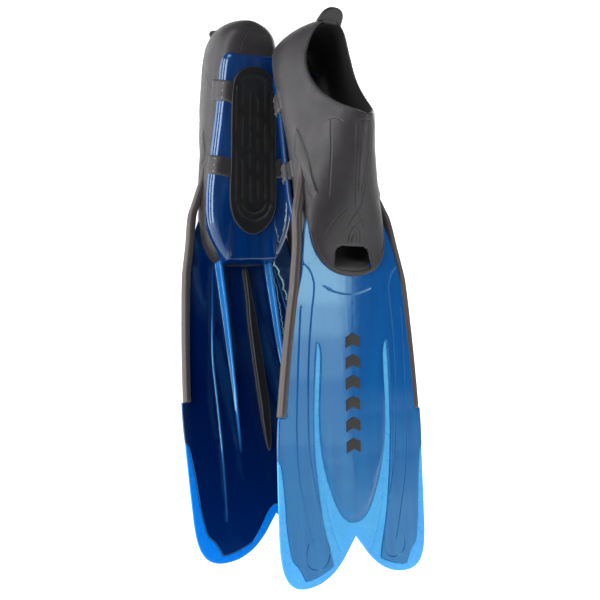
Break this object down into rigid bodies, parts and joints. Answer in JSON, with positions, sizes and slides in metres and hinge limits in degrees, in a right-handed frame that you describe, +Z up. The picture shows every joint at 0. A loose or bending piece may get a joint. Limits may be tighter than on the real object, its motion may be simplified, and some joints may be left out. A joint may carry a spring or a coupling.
{
  "type": "pair of swim fins",
  "caption": "Pair of full-foot swim fins with closed rubber foot pockets, toe windows and forked two-tone blades with rubber edge rails.",
  "frame": {"origin": "the middle of the right fin's foot pocket, where the wearer's foot holds the pair", "axes": "+Z up from the blades' tips to the heels, +X to the right as seen from the front, +Y away from the viewer"},
  "size_m": [0.2582, 0.2103, 0.5859],
  "materials": {
    "pocket_rubber": "matte moulded",
    "insole_foam": "textured",
    "pad_rubber": "ribbed",
    "rail_rubber": "satin moulded",
    "blade_plastic": "high gloss, slightly translucent",
    "flex_elastomer": "satin, translucent",
    "mark_rubber": "matte"
  },
  "bodies": {
    "right_foot": {"right_foot_pocket": "pocket_rubber", "right_insole": "insole_foam", "right_sole_pad": "pad_rubber", "right_foot_plate": "blade_plastic", "right_blade_root": "blade_plastic", "right_toe_welt": "pocket_rubber", "right_heel_strap_outer": "pocket_rubber", "right_heel_strap_inner": "pocket_rubber", "right_ball_strap_outer": "pocket_rubber", "right_ball_strap_inner": "pocket_rubber", "right_rail_root_outer": "rail_rubber", "right_rail_root_inner": "rail_rubber"},
    "right_tab": {"right_heel_tab": "pocket_rubber"},
    "right_blade": {"right_edge_rail_outer": "rail_rubber", "right_edge_rail_inner": "rail_rubber", "right_blade_core": "blade_plastic", "right_flex_insert": "flex_elastomer", "right_keel": "rail_rubber", "right_tongue_mark": "mark_rubber"},
    "left_foot": {"left_foot_pocket": "pocket_rubber", "left_insole": "insole_foam", "left_sole_pad": "pad_rubber", "left_foot_plate": "blade_plastic", "left_blade_root": "blade_plastic", "left_toe_welt": "pocket_rubber", "left_heel_strap_outer": "pocket_rubber", "left_heel_strap_inner": "pocket_rubber", "left_ball_strap_outer": "pocket_rubber", "left_ball_strap_inner": "pocket_rubber", "left_rail_root_outer": "rail_rubber", "left_rail_root_inner": "rail_rubber"},
    "left_tab": {"left_heel_tab": "pocket_rubber"},
    "left_blade": {"left_edge_rail_outer": "rail_rubber", "left_edge_rail_inner": "rail_rubber", "left_blade_core": "blade_plastic", "left_flex_insert": "flex_elastomer", "left_keel": "rail_rubber", "left_tongue_mark": "mark_rubber"}
  },
  "joints": [
    {"name": "left_fin_apart", "type": "slide", "parent": "right_foot", "child": "left_foot", "axis": [-1, 0, 0], "range_m": [0, 0.25]},
    {"name": "right_blade_flex", "type": "hinge", "parent": "right_foot", "child": "right_blade", "pos_m": [0.02508, -0.0286, -0.1565], "axis": [-0.7879, -0.6157, -0.0138], "range_deg": [-12, 20], "stiffness_Nm_per_rad": 6},
    {"name": "right_tab_flex", "type": "hinge", "parent": "right_foot", "child": "right_tab", "pos_m": [0.0056, -0.00985, 0.12008], "axis": [-0.7879, -0.6157, -0.0138], "range_deg": [-5, 40], "stiffness_Nm_per_rad": 0.01},
    {"name": "left_blade_flex", "type": "hinge", "parent": "left_foot", "child": "left_blade", "pos_m": [-0.08426, 0.06292, -0.14791], "axis": [-0.8651, -0.5, -0.0408], "range_deg": [-20, 12], "stiffness_Nm_per_rad": 6},
    {"name": "left_tab_flex", "type": "hinge", "parent": "left_foot", "child": "left_tab", "pos_m": [-0.112, 0.08845, 0.12742], "axis": [0.8651, 0.5, 0.0408], "range_deg": [-5, 40], "stiffness_Nm_per_rad": 0.01}
  ]
}
